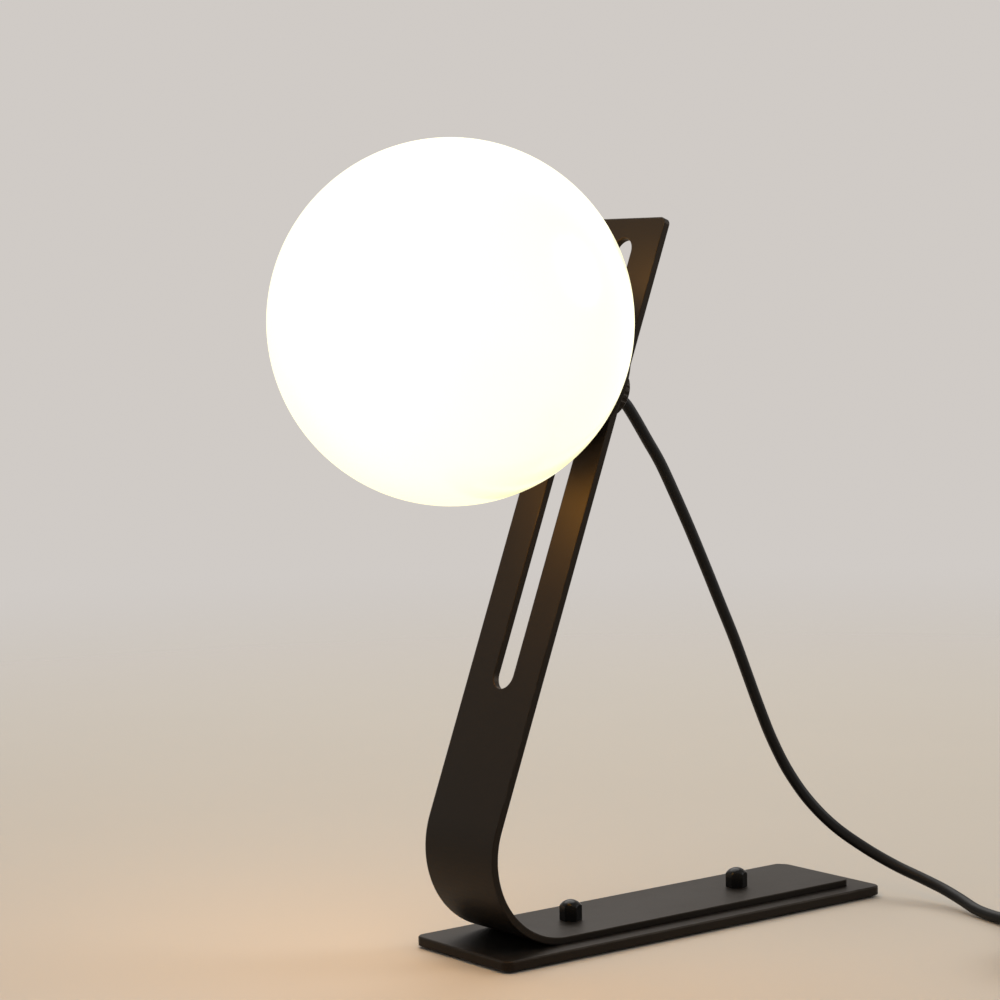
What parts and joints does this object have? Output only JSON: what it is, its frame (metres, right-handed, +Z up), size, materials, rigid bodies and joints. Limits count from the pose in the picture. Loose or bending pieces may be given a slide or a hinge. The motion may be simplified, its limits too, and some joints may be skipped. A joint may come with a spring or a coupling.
{
  "type": "globe table lamp",
  "caption": "Table lamp with an opal glass globe clamped to a leaning slotted steel strip on a flat base plate, with an in-line switch on its cord.",
  "frame": {"origin": "middle of the base pad's underside, on the table", "axes": "+X along the base away from the globe, +Y across the base, +Z up"},
  "size_m": [0.3304, 0.3398, 0.3396],
  "materials": {
    "powder_black": "satin black powder coat on steel",
    "pad_foam": "matt black foam rubber",
    "zinc_steel": "zinc plated steel",
    "clear_silicone": "translucent silicone",
    "opal_glass": "satin opal white glass",
    "brass": "bare brass",
    "black_plastic": "fine textured black plastic",
    "gloss_black": "polished black plastic",
    "white_plastic": "satin white plastic",
    "cord_pvc": "satin black flexible PVC",
    "wire_pvc": "brown wire insulation",
    "tie_fabric": "woven strap",
    "plated_pin": "nickel plated brass"
  },
  "bodies": {
    "stand": {"base_pad": "pad_foam", "base_plate": "powder_black", "stand_strip": "powder_black", "base_screws": "zinc_steel", "cap_nuts": "powder_black", "cord_free": "cord_pvc", "switch_base": "black_plastic", "switch_cover": "black_plastic", "switch_terminals": "brass", "switch_screws": "zinc_steel", "rocker_pin": "zinc_steel", "cord_link": "cord_pvc", "cord_coil": "cord_pvc", "cord_tie": "tie_fabric", "cord_end": "cord_pvc", "plug_relief": "cord_pvc", "plug_body": "black_plastic", "plug_pins": "plated_pin"},
    "head": {"fitter_cup": "powder_black", "globe_gasket": "clear_silicone", "globe_glass": "opal_glass", "globe_clips": "zinc_steel", "clip_rivets": "zinc_steel", "nipple": "brass", "lock_nut": "zinc_steel", "slot_bush": "black_plastic", "rear_washer": "powder_black", "cord_bush": "black_plastic", "cord_tail": "cord_pvc", "lamp_wires": "wire_pvc", "holder_cap": "black_plastic", "contact_block": "white_plastic", "screw_shell": "brass", "centre_contact": "brass", "holder_shell": "black_plastic", "bulb_cap": "zinc_steel", "bulb_housing": "white_plastic", "bulb_dome": "white_plastic"},
    "knob": {"clamp_knob": "powder_black"},
    "rocker": {"switch_rocker": "gloss_black"}
  },
  "joints": [
    {"name": "head_slide", "type": "slide", "parent": "stand", "child": "head", "axis": [0.3584, 0, 0.9336], "range_m": [-0.128, 0.058], "deforming": ["cord_free"]},
    {"name": "knob_turn", "type": "hinge", "parent": "head", "child": "knob", "pos_m": [-0.02662, 0, 0.23401], "axis": [0.9336, 0, -0.3584], "range_deg": [0, 270]},
    {"name": "rocker_tilt", "type": "hinge", "parent": "stand", "child": "rocker", "pos_m": [0.068, -0.17, 0.0105], "axis": [0.7071, -0.7071, 0], "range_deg": [0, 16]}
  ]
}
